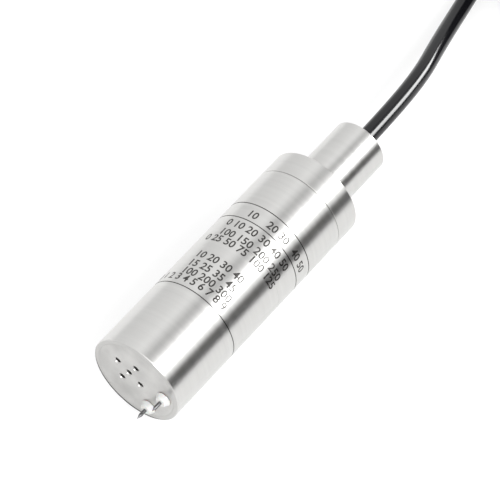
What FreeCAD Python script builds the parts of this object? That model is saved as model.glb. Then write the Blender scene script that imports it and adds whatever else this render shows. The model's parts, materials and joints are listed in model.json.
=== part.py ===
import FreeCAD, Part
import math
import os

from FreeCAD import Rotation, Vector

# Submersible piezoresistive level sensor with two electrodes, and its vented cable.
# The sensor lies on its side. Its axis runs along X, with the nose towards -X and the cable
# leaving towards +X. The origin is under the middle of the sensor, on the surface it lies on.
# Pieces are drawn along their own axis, with x = 0 at the nose's face, and then set down.
# All sizes are in millimetres.

# Fits between the pieces
FIT_GAP = 0.05
SLIDE_GAP = 0.3
FUSED_GAP = 0.02

# Housing tube
BODY_RADIUS = 20.0
SEAT_WALL = 2.0
SEAT_DEPTH = 0.4
TUBE_LENGTH = 101.8
RIM_CHAMFER = 0.3
SEAM_CHAMFER = 0.3
MARK_LINE_PLACES = (34.5, 74.05, 82.2)
MARK_LINE_WIDTH = 0.36
MARK_LINE_DEPTH = 0.15

# Nose plug, with the pressure inlet off its centre
INLET_WALL = 3.0
CHAMBER_DEPTH = 2.0
CHAMBER_STEP = 1.0
PLUG_REAR_MARGIN = 2.0
PORT_OFFSET = 4.0
INLET_RADIUS = 1.25
INLET_CIRCLE_RADIUS = 6.3
INLET_COUNT = 4
INLET_CHAMFER = 0.4
NOSE_ROLL = -57.0

# Piezoresistive capsule
CAPSULE_RADIUS = 9.5
CAPSULE_LENGTH = 13.0
CAPSULE_RIM = 1.2
RIM_RECESS = 0.8
WELD_RING_WIDTH = 1.0
WELD_RING_THICKNESS = 0.4
DIAPHRAGM_THICKNESS = 0.1
CORRUGATION_COUNT = 3
CORRUGATION_HEIGHT = 0.25
BOSS_RADIUS = 2.0
OIL_FILM = 0.15
HEADER_WALL = 3.5
HEADER_LENGTH = 4.0
HEADER_STEP = 0.8
SPACER_THICKNESS = 2.0
SPACER_WINDOW = 3.0
CHIP_SIDE = 2.0
CHIP_THICKNESS = 0.9
HEADER_PIN_COUNT = 6
HEADER_PIN_RADIUS = 0.3
HEADER_PIN_INSET = 2.4
HEADER_PIN_TAIL = 0.4
GLASS_BEAD_WALL = 0.5
REFERENCE_TUBE_RADIUS = 0.6
REFERENCE_TUBE_BORE = 0.3
REFERENCE_TUBE_TAIL = 1.0
CAPSULE_SEAL_PLACE = 4.0
CAPSULE_SEAL_WIDTH = 2.4
CAPSULE_SEAL_DEPTH = 1.5
RETAINING_RING_LENGTH = 4.0
RETAINING_RING_WALL = 2.4
RETAINING_SLOT_WIDTH = 2.5
RETAINING_SLOT_DEPTH = 1.2
TRIM_BOARD_THICKNESS = 1.0
TRIM_BOARD_SETBACK = 0.8

# Electrodes
ELECTRODE_INSET = 4.7
ELECTRODE_HALF_ANGLE = 31.0
ELECTRODE_SIDES = (1, -1)
ELECTRODE_WALL = 8.0
ELECTRODE_WELL_RADIUS = 4.0
BUSH_SHANK_RADIUS = 2.2
BUSH_BASE_RADIUS = 3.2
BUSH_TIP_RADIUS = 2.3
BUSH_HEIGHT = 2.3
BUSH_THREAD_SPARE = 0.4
BUSH_EDGE = 0.25
BUSH_GROOVE_PLACE = 3.0
BUSH_GROOVE_WIDTH = 1.3
BUSH_GROOVE_DEPTH = 0.6
PIN_RADIUS = 0.75
PIN_REACH = 5.0
PIN_POINT = 2.0
PIN_COLLAR = 0.65
PIN_COLLAR_LENGTH = 0.8
PIN_TAIL = 1.4
ELECTRODE_WASHER_THICKNESS = 0.6
NUT_SIDES = 6
ELECTRODE_NUT_FLATS = 6.0
ELECTRODE_NUT_LENGTH = 2.4
LUG_THICKNESS = 0.3
LUG_RADIUS = 1.8
LUG_TAB_WIDTH = 1.2
LUG_TAB_LENGTH = 4.0

# Circuit board and what carries it
SLEEVE_LENGTH = 8.0
SLEEVE_WALL = 1.0
CARRIER_LENGTH = 6.0
CARRIER_WALL = 2.8
CARRIER_SLOT_LENGTH = 4.0
BOARD_DROP = 6.0
BOARD_THICKNESS = 1.6
BOARD_SIDE_GAP = 1.9
CONTROLLER_SIDE = 7.0
CONVERTER_SIDE = 4.4
CHIP_HEIGHT = 1.4
CHIP_LEG_COUNT = 6
CHIP_LEG_WIDTH = 0.5
CHIP_LEG_REACH = 0.8
CHIP_LEG_THICKNESS = 0.3
CAPACITOR_RADIUS = 2.4
CAPACITOR_HEIGHT = 5.5
CAPACITOR_COUNT = 3
CAPACITOR_PITCH = 5.5
ARRESTER_RADIUS = 1.6
ARRESTER_LENGTH = 6.0
ARRESTER_COUNT = 2
ARRESTER_PITCH = 3.8
ARRESTER_GAP = 3.8
RESISTOR_LENGTH = 2.0
RESISTOR_WIDTH = 1.2
RESISTOR_HEIGHT = 0.6
RESISTOR_COUNT = 4
RESISTOR_PITCH = 2.2
RESISTOR_GAP = 2.0
LANE_INSET = 3.6
PARTS_SETBACK = 6.5
POLE_COUNT = 5
POLE_PITCH = 3.5
TERMINAL_LENGTH = 8.0
TERMINAL_HEIGHT = 8.5
TERMINAL_GAP = 1.0
TERMINAL_STEP = 2.5
ENTRY_RADIUS = 1.0
ENTRY_HEIGHT = 3.2
ENTRY_DEPTH = 3.5
SCREW_WELL_RADIUS = 1.4
SCREW_WELL_DEPTH = 2.0
SCREW_HEAD_HEIGHT = 1.0
SCREW_SLOT_WIDTH = 0.4
SCREW_SLOT_DEPTH = 0.4

# Rear cap
SPIGOT_LENGTH = 12.0
FLANGE_LENGTH = 11.6
NECK_LENGTH = 29.9
NECK_RADIUS = 11.7
CAP_EDGE = 0.4
CAVITY_WALL = 5.0
CAVITY_FLOOR = 5.0
CAVITY_CONE = 4.0
CAP_SEAL_PLACES = (2.6, 7.2)
CAP_SEAL_WIDTH = 2.0
CAP_SEAL_DEPTH = 1.3

# Cable seal inside the neck
CABLE_RADIUS = 3.75
EXIT_GAP = 0.25
EXIT_CHAMFER = 0.4
EXIT_WALL = 5.0
SEAL_BORE_RADIUS = 7.6
SEAL_LENGTH = 8.0
SEAL_WASHER_THICKNESS = 1.0
SCREW_BORE_RADIUS = 8.5
GLAND_SCREW_LENGTH = 8.0
GLAND_SCREW_NOSE = 1.0
GLAND_SCREW_SPARE = 0.5
GLAND_SLOT_WIDTH = 2.0
GLAND_SLOT_DEPTH = 1.5
FERRULE_LENGTH = 3.0
FERRULE_WALL = 1.4
SHEATH_OVERHANG = 0.8

# Cores and vent tube inside the cable
CORE_NAMES = ("white", "yellow", "black", "blue", "red")
CORE_RADIUS = 0.7
CORE_CIRCLE = 2.2
CORE_ANGLES = (198.0, 126.0, 270.0, 54.0, 342.0)
CORE_STRAIGHT = 9.0
CORE_LANDING = 2.0
CONDUCTOR_RADIUS = 0.4
VENT_RADIUS = 0.8
VENT_RISE = 7.0
VENT_BEND_PLACES = (12.0, 4.0)
VENT_CAP_RADIUS = 1.6
VENT_CAP_LENGTH = 4.0
VENT_CAP_WALL = 1.0
VENT_CAP_GAP = 0.5
LEAD_RADIUS = 0.5
LEAD_LIFT = 2.6
LEAD_LANDING = 4.0
LEAD_STRAIGHT = 2.0
LEAD_SHIFT = 1.2
SIGNAL_GAP = 1.2
SIGNAL_COUNT = 4
SIGNAL_PITCH = 2.0

# Cable route, as chosen: x from the neck's end, y, and height above the surface
EXIT_RUN = 9.0
CABLE_ROUTE = (
    (45.0, 3.0, 16.4),
    (69.0, 10.0, 10.9),
)
LAST_RUN = 25.0
BEND_SHARE = 0.45

# Coil of the rest of the cable
COIL_CENTRE = (155.0, -20.0)
COIL_HEADING = 10.0
TURN_RADII = (31.5, 39.0, 46.5)
LAYER_COUNT = 4
COIL_SLACK = 0.15
COIL_CORNER = 2.2
LAST_QUARTER = 90.0
TIE_THICKNESS = 0.8
TIE_GAP = 0.05
TIE_ANGLES = (55.0, 235.0)
TIE_SPAN = 15.0
TAIL_STRAIGHT = 4.0
TAIL_PLACES = (10.0, 20.0, 30.0)
TAIL_OPENING = 1.35
TAIL_FAN = 1.47
TAIL_SHIFT = 0.5
TIP_LENGTH = 6.0

# Sizes that follow from those above
FULL_TURN = 360.0
RIGHT_ANGLE = 90.0
AXIS = Vector(1, 0, 0)
UP = Vector(0, 0, 1)

SEAT_RADIUS = BODY_RADIUS - SEAT_WALL
BORE_RADIUS = SEAT_RADIUS - SEAT_DEPTH
CAPSULE_START = INLET_WALL + CHAMBER_DEPTH
CAPSULE_END = CAPSULE_START + CAPSULE_LENGTH
HEADER_RADIUS = CAPSULE_RADIUS - HEADER_WALL
HEADER_PIN_CIRCLE = HEADER_RADIUS - HEADER_PIN_INSET
HEADER_FACE = CAPSULE_START + RIM_RECESS + OIL_FILM + SPACER_THICKNESS
HEADER_END = HEADER_FACE + HEADER_LENGTH
BEAD_RADIUS = HEADER_PIN_RADIUS + FUSED_GAP + GLASS_BEAD_WALL
RETAINING_RING_END = CAPSULE_END + RETAINING_RING_LENGTH
PLUG_LENGTH = RETAINING_RING_END + PLUG_REAR_MARGIN
TRIM_BOARD_END = RETAINING_RING_END - TRIM_BOARD_SETBACK
TRIM_BOARD_START = TRIM_BOARD_END - TRIM_BOARD_THICKNESS
POCKET_RADIUS = CAPSULE_RADIUS + FIT_GAP
RETAINING_BORE = CAPSULE_RADIUS - RETAINING_RING_WALL

SLEEVE_END = PLUG_LENGTH + SLEEVE_LENGTH
FRONT_CARRIER_END = SLEEVE_END + CARRIER_LENGTH
SPIGOT_START = TUBE_LENGTH - SPIGOT_LENGTH
REAR_CARRIER_START = SPIGOT_START - CARRIER_LENGTH
CARRIER_RADIUS = BORE_RADIUS - SLIDE_GAP
BOARD_START = FRONT_CARRIER_END - CARRIER_SLOT_LENGTH + FIT_GAP
BOARD_END = REAR_CARRIER_START + CARRIER_SLOT_LENGTH - FIT_GAP
BOARD_HALF_WIDTH = math.sqrt(BORE_RADIUS ** 2 - BOARD_DROP ** 2) - BOARD_SIDE_GAP
BOARD_LANE = BOARD_HALF_WIDTH - LANE_INSET
BOARD_TOP = BOARD_THICKNESS - BOARD_DROP
PARTS_START = BOARD_START + PARTS_SETBACK
TERMINAL_REAR = REAR_CARRIER_START - TERMINAL_GAP
TERMINAL_FRONT = TERMINAL_REAR - TERMINAL_LENGTH

CAVITY_RADIUS = SEAT_RADIUS - CAVITY_WALL
SHOULDER = TUBE_LENGTH + FLANGE_LENGTH
NECK_END = SHOULDER + NECK_LENGTH
EXIT_WALL_START = NECK_END - EXIT_WALL
SEAL_END = EXIT_WALL_START - SEAL_WASHER_THICKNESS
SEAL_START = SEAL_END - SEAL_LENGTH
GLAND_SCREW_END = SEAL_START - SEAL_WASHER_THICKNESS
GLAND_SCREW_START = GLAND_SCREW_END - GLAND_SCREW_LENGTH
SCREW_BORE_END = GLAND_SCREW_END - GLAND_SCREW_SPARE
FERRULE_START = GLAND_SCREW_START - FERRULE_LENGTH
SHEATH_START = FERRULE_START - SHEATH_OVERHANG
CABLE_BORE_RADIUS = CABLE_RADIUS + EXIT_GAP

ELECTRODE_CIRCLE = SEAT_RADIUS - ELECTRODE_INSET
ELECTRODE_REACH = BUSH_HEIGHT + PIN_REACH
NUT_START = ELECTRODE_WALL + ELECTRODE_WASHER_THICKNESS
NUT_END = NUT_START + ELECTRODE_NUT_LENGTH
BUSH_END = NUT_END + BUSH_THREAD_SPARE
LUG_START = BUSH_END + PIN_COLLAR_LENGTH
LUG_END = LUG_START + LUG_THICKNESS

SENSOR_LENGTH = ELECTRODE_REACH + NECK_END
NOSE_X = ELECTRODE_REACH - SENSOR_LENGTH / 2
NECK_END_X = NOSE_X + NECK_END

COIL_BASE = TIE_THICKNESS + TIE_GAP
CABLE_DIAMETER = 2 * CABLE_RADIUS
COIL_INNER = TURN_RADII[0] - CABLE_RADIUS - COIL_SLACK
COIL_OUTER = TURN_RADII[-1] + CABLE_RADIUS + COIL_SLACK
COIL_STEP = TURN_RADII[-1] - CABLE_RADIUS
FIRST_LAYER = COIL_BASE + COIL_SLACK + CABLE_RADIUS
LAST_LAYER = FIRST_LAYER + (LAYER_COUNT - 1) * CABLE_DIAMETER
COIL_LEDGE = LAST_LAYER - CABLE_RADIUS
COIL_TOP = LAST_LAYER + CABLE_RADIUS + COIL_SLACK
COIL_MIDDLE = Vector(NECK_END_X + COIL_CENTRE[0], COIL_CENTRE[1], 0)
ENTRY_ANGLE = RIGHT_ANGLE + COIL_HEADING
END_ANGLE = ENTRY_ANGLE - LAST_QUARTER
CORNER_GROWTH = 2 * (1 - math.cos(math.radians(RIGHT_ANGLE / 2)))
VENT_CAP_START = TERMINAL_REAR + VENT_CAP_GAP


# Drawing helpers
def turned(profile, centre=(0.0, 0.0)):
    """A solid turned round a line along X, from (x, radius) corners."""
    y, z = centre
    corners = [Vector(x, y + radius, z) for x, radius in profile]
    outline = Part.makePolygon(corners + corners[:1])
    return Part.Face(outline).revolve(Vector(0, y, z), AXIS, FULL_TURN)


def rod(start, end, radius, centre=(0.0, 0.0)):
    """A round bar along X."""
    return Part.makeCylinder(radius, end - start, Vector(start, *centre), AXIS)


def ring(start, end, outer, inner, centre=(0.0, 0.0)):
    """A round bar along X with a hole through it."""
    return rod(start, end, outer, centre).cut(rod(start, end, inner, centre))


def block(low, high):
    """A rectangular block between two opposite corners."""
    size = Vector(*high) - Vector(*low)
    return Part.makeBox(size.x, size.y, size.z, Vector(*low))


def seal_ring(middle, inner, outer, centre=(0.0, 0.0)):
    """A round rubber ring that fills the space between two radii."""
    section = (outer - inner) / 2 - FUSED_GAP
    return Part.makeTorus((outer + inner) / 2, section, Vector(middle, *centre), AXIS)


def polar(radius, angle, centre=(0.0, 0.0)):
    """The (y, z) place at an angle round a line along X."""
    turn = math.radians(angle)
    return (centre[0] + radius * math.cos(turn), centre[1] + radius * math.sin(turn))


def bend_path(points):
    """Straight runs through the points, joined by arcs as large as the runs allow."""
    path = []
    radii = []
    last = points[0]
    for before, corner, after in zip(points, points[1:], points[2:]):
        back = (before - corner).normalize()
        ahead = (after - corner).normalize()
        half_turn = (math.pi - back.getAngle(ahead)) / 2
        reach = BEND_SHARE * min(before.distanceToPoint(corner), after.distanceToPoint(corner))
        radius = reach / math.tan(half_turn)
        radii.append(radius)
        middle = (back + ahead).normalize()
        depth = radius / math.cos(half_turn) - radius
        first = corner + back * reach
        second = corner + ahead * reach
        path.append(Part.LineSegment(last, first).toShape())
        path.append(Part.Arc(first, corner + middle * depth, second).toShape())
        last = second
    path.append(Part.LineSegment(last, points[-1]).toShape())
    return Part.Wire(path), radii


def tube_along(points, radius):
    """A plain round tube, filled, along a bent path."""
    path, radii = bend_path(points)
    circle = Part.makeCircle(radius, points[0], points[1] - points[0])
    solid = path.makePipeShell([Part.Wire(circle)], True, False)
    section = math.pi * radius ** 2
    return solid, path.Length, radii, solid.Volume / (section * path.Length)


def lead_along(points, radius):
    """Only the solid of a tube along a path."""
    return tube_along([Vector(*point) for point in points], radius)[0]


def set_down(solid):
    """Moves a piece from its drawing place to where the sensor lies."""
    moved = solid.copy()
    moved.translate(Vector(NOSE_X, 0, BODY_RADIUS))
    return moved


def roll_place(y, z):
    """Where a (y, z) place of the nose ends up once the nose is rolled."""
    place = Rotation(AXIS, NOSE_ROLL).multVec(Vector(0, y, z))
    return place.y, place.z


def rolled(solid):
    """Turns a piece of the nose round the sensor's axis, to how the sensor lies."""
    turned_piece = solid.copy()
    turned_piece.rotate(Vector(), AXIS, NOSE_ROLL)
    return turned_piece


# Housing tube, with three marking lines cut round it
def housing_tube():
    profile = [
        (0, SEAT_RADIUS),
        (0, BODY_RADIUS - RIM_CHAMFER),
        (RIM_CHAMFER, BODY_RADIUS),
    ]
    for place in MARK_LINE_PLACES:
        left = place - MARK_LINE_WIDTH / 2
        right = place + MARK_LINE_WIDTH / 2
        floor = BODY_RADIUS - MARK_LINE_DEPTH
        profile += [(left, BODY_RADIUS), (left, floor), (right, floor), (right, BODY_RADIUS)]
    profile += [
        (TUBE_LENGTH - SEAM_CHAMFER, BODY_RADIUS),
        (TUBE_LENGTH, BODY_RADIUS - SEAM_CHAMFER),
        (TUBE_LENGTH, SEAT_RADIUS),
        (SPIGOT_START, SEAT_RADIUS),
        (SPIGOT_START, BORE_RADIUS),
        (PLUG_LENGTH, BORE_RADIUS),
        (PLUG_LENGTH, SEAT_RADIUS),
    ]
    return turned(profile)


# Nose plug: inlet holes, pressure chamber, capsule pocket and two stepped electrode holes
def inlet_places():
    places = [(0.0, PORT_OFFSET)]
    for number in range(INLET_COUNT):
        angle = RIGHT_ANGLE + number * FULL_TURN / INLET_COUNT
        places.append(polar(INLET_CIRCLE_RADIUS, angle, (0.0, PORT_OFFSET)))
    return places


def electrode_place(side):
    return polar(ELECTRODE_CIRCLE, side * ELECTRODE_HALF_ANGLE - RIGHT_ANGLE)


def nose_plug():
    port = (0.0, PORT_OFFSET)
    plug = rod(0, PLUG_LENGTH, SEAT_RADIUS - FIT_GAP)
    chamber = rod(INLET_WALL, CAPSULE_START, CAPSULE_RADIUS - CHAMBER_STEP, port)
    pocket = rod(CAPSULE_START, PLUG_LENGTH, POCKET_RADIUS, port)
    cutters = [chamber, pocket]
    for place in inlet_places():
        cutters.append(rod(0, INLET_WALL, INLET_RADIUS, place))
        mouth = INLET_RADIUS + INLET_CHAMFER
        cutters.append(Part.makeCone(mouth, INLET_RADIUS, INLET_CHAMFER, Vector(0, *place), AXIS))
    for side in ELECTRODE_SIDES:
        place = electrode_place(side)
        cutters.append(rod(0, ELECTRODE_WALL, BUSH_SHANK_RADIUS + FIT_GAP, place))
        cutters.append(rod(ELECTRODE_WALL, PLUG_LENGTH, ELECTRODE_WELL_RADIUS, place))
    for cutter in cutters:
        plug = plug.cut(cutter)
    return plug


# Capsule body: a turned cup open at both ends, with a step that the header sits on
def capsule_body():
    port = (0.0, PORT_OFFSET)
    floor = CAPSULE_START + RIM_RECESS
    groove_start = CAPSULE_START + CAPSULE_SEAL_PLACE
    groove_end = groove_start + CAPSULE_SEAL_WIDTH
    groove_floor = CAPSULE_RADIUS - CAPSULE_SEAL_DEPTH
    profile = [
        (CAPSULE_START, CAPSULE_RADIUS - CAPSULE_RIM),
        (CAPSULE_START, CAPSULE_RADIUS),
        (groove_start, CAPSULE_RADIUS),
        (groove_start, groove_floor),
        (groove_end, groove_floor),
        (groove_end, CAPSULE_RADIUS),
        (CAPSULE_END, CAPSULE_RADIUS),
        (CAPSULE_END, HEADER_RADIUS - HEADER_STEP),
        (HEADER_END, HEADER_RADIUS - HEADER_STEP),
        (HEADER_END, HEADER_RADIUS),
        (floor, HEADER_RADIUS),
        (floor, CAPSULE_RADIUS - CAPSULE_RIM),
    ]
    return turned(profile, centre=port)


# Diaphragm: a thin disc with round corrugations, welded at its rim
def capsule_diaphragm():
    back = CAPSULE_START + RIM_RECESS
    front = back - DIAPHRAGM_THICKNESS
    rim = CAPSULE_RADIUS - CAPSULE_RIM - FIT_GAP
    flat = rim - WELD_RING_WIDTH
    pitch = (flat - BOSS_RADIUS) / CORRUGATION_COUNT

    def wavy(x):
        edges = []
        last = Vector(x, PORT_OFFSET, 0)
        for number in range(CORRUGATION_COUNT):
            start = BOSS_RADIUS + number * pitch
            low = Vector(x, PORT_OFFSET + start, 0)
            high = Vector(x, PORT_OFFSET + start + pitch / 2, 0)
            crest = Vector(x - CORRUGATION_HEIGHT, PORT_OFFSET + start + pitch / 4, 0)
            edges.append(Part.LineSegment(last, low).toShape())
            edges.append(Part.Arc(low, crest, high).toShape())
            last = high
        edges.append(Part.LineSegment(last, Vector(x, PORT_OFFSET + rim, 0)).toShape())
        return edges

    inner = Part.makeLine(Vector(front, PORT_OFFSET, 0), Vector(back, PORT_OFFSET, 0))
    outer = Part.makeLine(
        Vector(front, PORT_OFFSET + rim, 0), Vector(back, PORT_OFFSET + rim, 0)
    )
    edges = Part.__sortEdges__(wavy(front) + wavy(back) + [inner, outer])
    disc = Part.Face(Part.Wire(edges)).revolve(Vector(0, PORT_OFFSET, 0), AXIS, FULL_TURN)
    disc.rotate(Vector(), AXIS, RIGHT_ANGLE)
    return disc


def capsule_weld_ring():
    end = CAPSULE_START + RIM_RECESS - DIAPHRAGM_THICKNESS
    outer = CAPSULE_RADIUS - CAPSULE_RIM - FIT_GAP
    port = (0.0, PORT_OFFSET)
    return ring(end - WELD_RING_THICKNESS, end, outer, outer - WELD_RING_WIDTH, port)


# Header: a disc with glass-sealed pins round a tube that lets air to the chip's back
def header_pin_places():
    port = (0.0, PORT_OFFSET)
    step = FULL_TURN / HEADER_PIN_COUNT
    return [polar(HEADER_PIN_CIRCLE, step * n, port) for n in range(HEADER_PIN_COUNT)]


def capsule_header():
    port = (0.0, PORT_OFFSET)
    disc = rod(HEADER_FACE, HEADER_END, HEADER_RADIUS - FIT_GAP, port)
    for place in header_pin_places():
        disc = disc.cut(rod(HEADER_FACE, HEADER_END, BEAD_RADIUS + FUSED_GAP, place))
    return disc.cut(rod(HEADER_FACE, HEADER_END, REFERENCE_TUBE_RADIUS + FUSED_GAP, port))


def header_glass():
    bore = HEADER_PIN_RADIUS + FUSED_GAP
    beads = [ring(HEADER_FACE, HEADER_END, BEAD_RADIUS, bore, p) for p in header_pin_places()]
    return Part.makeCompound(beads)


def header_pins():
    end = TRIM_BOARD_END + HEADER_PIN_TAIL
    pins = [rod(HEADER_FACE, end, HEADER_PIN_RADIUS, p) for p in header_pin_places()]
    return Part.makeCompound(pins)


def reference_tube():
    end = TRIM_BOARD_END + REFERENCE_TUBE_TAIL
    port = (0.0, PORT_OFFSET)
    return ring(HEADER_FACE, end, REFERENCE_TUBE_RADIUS, REFERENCE_TUBE_BORE, port)


def ceramic_spacer():
    port = (0.0, PORT_OFFSET)
    start = HEADER_FACE - SPACER_THICKNESS
    disc = rod(start, HEADER_FACE, HEADER_RADIUS - FIT_GAP, port)
    half = SPACER_WINDOW / 2
    window = block((start, -half, PORT_OFFSET - half), (HEADER_FACE, half, PORT_OFFSET + half))
    return disc.cut(window)


def pressure_chip():
    half = CHIP_SIDE / 2
    low = (HEADER_FACE - CHIP_THICKNESS, -half, PORT_OFFSET - half)
    return block(low, (HEADER_FACE, half, PORT_OFFSET + half))


def capsule_seal():
    middle = CAPSULE_START + CAPSULE_SEAL_PLACE + CAPSULE_SEAL_WIDTH / 2
    inner = CAPSULE_RADIUS - CAPSULE_SEAL_DEPTH
    return seal_ring(middle, inner, POCKET_RADIUS, (0.0, PORT_OFFSET))


def capsule_retaining_ring():
    port = (0.0, PORT_OFFSET)
    nut = ring(CAPSULE_END, RETAINING_RING_END, CAPSULE_RADIUS, RETAINING_BORE, port)
    half = RETAINING_SLOT_WIDTH / 2
    start = RETAINING_RING_END - RETAINING_SLOT_DEPTH
    low = (start, -CAPSULE_RADIUS, PORT_OFFSET - half)
    return nut.cut(block(low, (RETAINING_RING_END, CAPSULE_RADIUS, PORT_OFFSET + half)))


# Small round board soldered onto the capsule's pins
def trim_board():
    start = TRIM_BOARD_START
    end = TRIM_BOARD_END
    port = (0.0, PORT_OFFSET)
    disc = rod(start, end, RETAINING_BORE - SLIDE_GAP, port)
    for place in header_pin_places():
        disc = disc.cut(rod(start, end, HEADER_PIN_RADIUS + FIT_GAP, place))
    return disc.cut(rod(start, end, REFERENCE_TUBE_RADIUS + FIT_GAP, port))


# Electrode pieces: bush, pin, seal, washer, nut, lug, each drawn at one electrode's place
def electrode_bush(place):
    groove_end = BUSH_GROOVE_PLACE + BUSH_GROOVE_WIDTH
    groove_floor = BUSH_SHANK_RADIUS - BUSH_GROOVE_DEPTH
    profile = [
        (-BUSH_HEIGHT, PIN_RADIUS + FUSED_GAP),
        (-BUSH_HEIGHT, BUSH_TIP_RADIUS - BUSH_EDGE),
        (BUSH_EDGE - BUSH_HEIGHT, BUSH_TIP_RADIUS),
        (-BUSH_EDGE, BUSH_BASE_RADIUS),
        (0, BUSH_BASE_RADIUS - BUSH_EDGE),
        (0, BUSH_SHANK_RADIUS),
        (BUSH_GROOVE_PLACE, BUSH_SHANK_RADIUS),
        (BUSH_GROOVE_PLACE, groove_floor),
        (groove_end, groove_floor),
        (groove_end, BUSH_SHANK_RADIUS),
        (BUSH_END, BUSH_SHANK_RADIUS),
        (BUSH_END, PIN_RADIUS + FUSED_GAP),
    ]
    return turned(profile, centre=place)


def electrode_pin(place):
    profile = [
        (-ELECTRODE_REACH, 0),
        (PIN_POINT - ELECTRODE_REACH, PIN_RADIUS),
        (BUSH_END, PIN_RADIUS),
        (BUSH_END, PIN_RADIUS + PIN_COLLAR),
        (LUG_START, PIN_RADIUS + PIN_COLLAR),
        (LUG_START, PIN_RADIUS),
        (LUG_END + PIN_TAIL, PIN_RADIUS),
        (LUG_END + PIN_TAIL, 0),
    ]
    return turned(profile, centre=place)


def electrode_seal(place):
    middle = BUSH_GROOVE_PLACE + BUSH_GROOVE_WIDTH / 2
    inner = BUSH_SHANK_RADIUS - BUSH_GROOVE_DEPTH
    return seal_ring(middle, inner, BUSH_SHANK_RADIUS + FIT_GAP, place)


def electrode_washer(place):
    outer = ELECTRODE_WELL_RADIUS - SLIDE_GAP
    return ring(ELECTRODE_WALL, NUT_START, outer, BUSH_SHANK_RADIUS + FIT_GAP, place)


def electrode_nut(place):
    step = FULL_TURN / NUT_SIDES
    corner = ELECTRODE_NUT_FLATS / 2 / math.cos(math.radians(step / 2))
    corners = [Vector(NUT_START, *polar(corner, step * n, place)) for n in range(NUT_SIDES)]
    hexagon = Part.Face(Part.makePolygon(corners + corners[:1]))
    nut = hexagon.extrude(AXIS * ELECTRODE_NUT_LENGTH)
    return nut.cut(rod(NUT_START, NUT_END, BUSH_SHANK_RADIUS + FIT_GAP, place))


def electrode_lug(place):
    y, z = place
    disc = rod(LUG_START, LUG_END, LUG_RADIUS, place)
    half = LUG_TAB_WIDTH / 2
    top = z + LUG_RADIUS
    low = (LUG_START, y - half, top - LUG_THICKNESS)
    tab = block(low, (LUG_START + LUG_TAB_LENGTH, y + half, top))
    lug = disc.fuse(tab).removeSplitter()
    return lug.cut(rod(LUG_START, LUG_END, PIN_RADIUS + FUSED_GAP, place))


# Insulating sleeve, the two rings that hold the board, and the board
def insulating_sleeve():
    return ring(PLUG_LENGTH, SLEEVE_END, CARRIER_RADIUS, CARRIER_RADIUS - SLEEVE_WALL)


def board_carrier(start, slot_start):
    inner = CARRIER_RADIUS - CARRIER_WALL
    carrier = ring(start, start + CARRIER_LENGTH, CARRIER_RADIUS, inner)
    half = BOARD_HALF_WIDTH + FIT_GAP
    low = (slot_start, -half, -BOARD_DROP - FIT_GAP)
    slot = block(low, (slot_start + CARRIER_SLOT_LENGTH, half, BOARD_TOP + FIT_GAP))
    return carrier.cut(slot)


def circuit_board():
    low = (BOARD_START, -BOARD_HALF_WIDTH, -BOARD_DROP)
    return block(low, (BOARD_END, BOARD_HALF_WIDTH, BOARD_TOP))


def flat_chip(start, middle, side):
    """A square moulded chip with a row of legs on two sides."""
    half = side / 2
    low = (start, middle - half, BOARD_TOP)
    chip = block(low, (start + side, middle + half, BOARD_TOP + CHIP_HEIGHT))
    pitch = side / CHIP_LEG_COUNT
    reach = half + CHIP_LEG_REACH
    for number in range(CHIP_LEG_COUNT):
        leg_start = start + number * pitch + (pitch - CHIP_LEG_WIDTH) / 2
        leg_top = BOARD_TOP + CHIP_LEG_THICKNESS
        leg_low = (leg_start, middle - reach, BOARD_TOP)
        leg = block(leg_low, (leg_start + CHIP_LEG_WIDTH, middle + reach, leg_top))
        chip = chip.fuse(leg)
    return chip.removeSplitter()


def board_capacitors():
    cans = []
    for number in range(CAPACITOR_COUNT):
        x = PARTS_START + CAPACITOR_RADIUS + number * CAPACITOR_PITCH
        foot = Vector(x, -BOARD_LANE, BOARD_TOP)
        cans.append(Part.makeCylinder(CAPACITOR_RADIUS, CAPACITOR_HEIGHT, foot, UP))
    return Part.makeCompound(cans)


def surge_arresters():
    start = PARTS_START + CONVERTER_SIDE + ARRESTER_GAP
    height = BOARD_TOP + ARRESTER_RADIUS
    bodies = []
    for number in range(ARRESTER_COUNT):
        y = BOARD_LANE + (number - (ARRESTER_COUNT - 1) / 2) * ARRESTER_PITCH
        bodies.append(rod(start, start + ARRESTER_LENGTH, ARRESTER_RADIUS, (y, height)))
    return Part.makeCompound(bodies)


def board_resistors():
    start = PARTS_START + CONTROLLER_SIDE + RESISTOR_GAP
    chips = []
    for number in range(RESISTOR_COUNT):
        y = (number - (RESISTOR_COUNT - 1) / 2) * RESISTOR_PITCH
        low = (start, y - RESISTOR_WIDTH / 2, BOARD_TOP)
        high = (start + RESISTOR_LENGTH, y + RESISTOR_WIDTH / 2, BOARD_TOP + RESISTOR_HEIGHT)
        chips.append(block(low, high))
    return Part.makeCompound(chips)


def pole_place(number):
    return (number - (POLE_COUNT - 1) / 2) * POLE_PITCH


def screw_well_middle():
    return TERMINAL_FRONT + TERMINAL_LENGTH / 2 - TERMINAL_STEP / 2


def terminal_block():
    half = POLE_COUNT * POLE_PITCH / 2
    top = BOARD_TOP + TERMINAL_HEIGHT
    body = block((TERMINAL_FRONT, -half, BOARD_TOP), (TERMINAL_REAR, half, top))
    step_start = TERMINAL_REAR - TERMINAL_STEP
    ledge = BOARD_TOP + 2 * ENTRY_HEIGHT
    body = body.cut(block((step_start, -half, ledge), (TERMINAL_REAR, half, top)))
    for number in range(POLE_COUNT):
        y = pole_place(number)
        entry = (y, BOARD_TOP + ENTRY_HEIGHT)
        body = body.cut(rod(TERMINAL_REAR - ENTRY_DEPTH, TERMINAL_REAR, ENTRY_RADIUS, entry))
        foot = Vector(screw_well_middle(), y, top - SCREW_WELL_DEPTH)
        body = body.cut(Part.makeCylinder(SCREW_WELL_RADIUS, SCREW_WELL_DEPTH, foot, UP))
    return body


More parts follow.
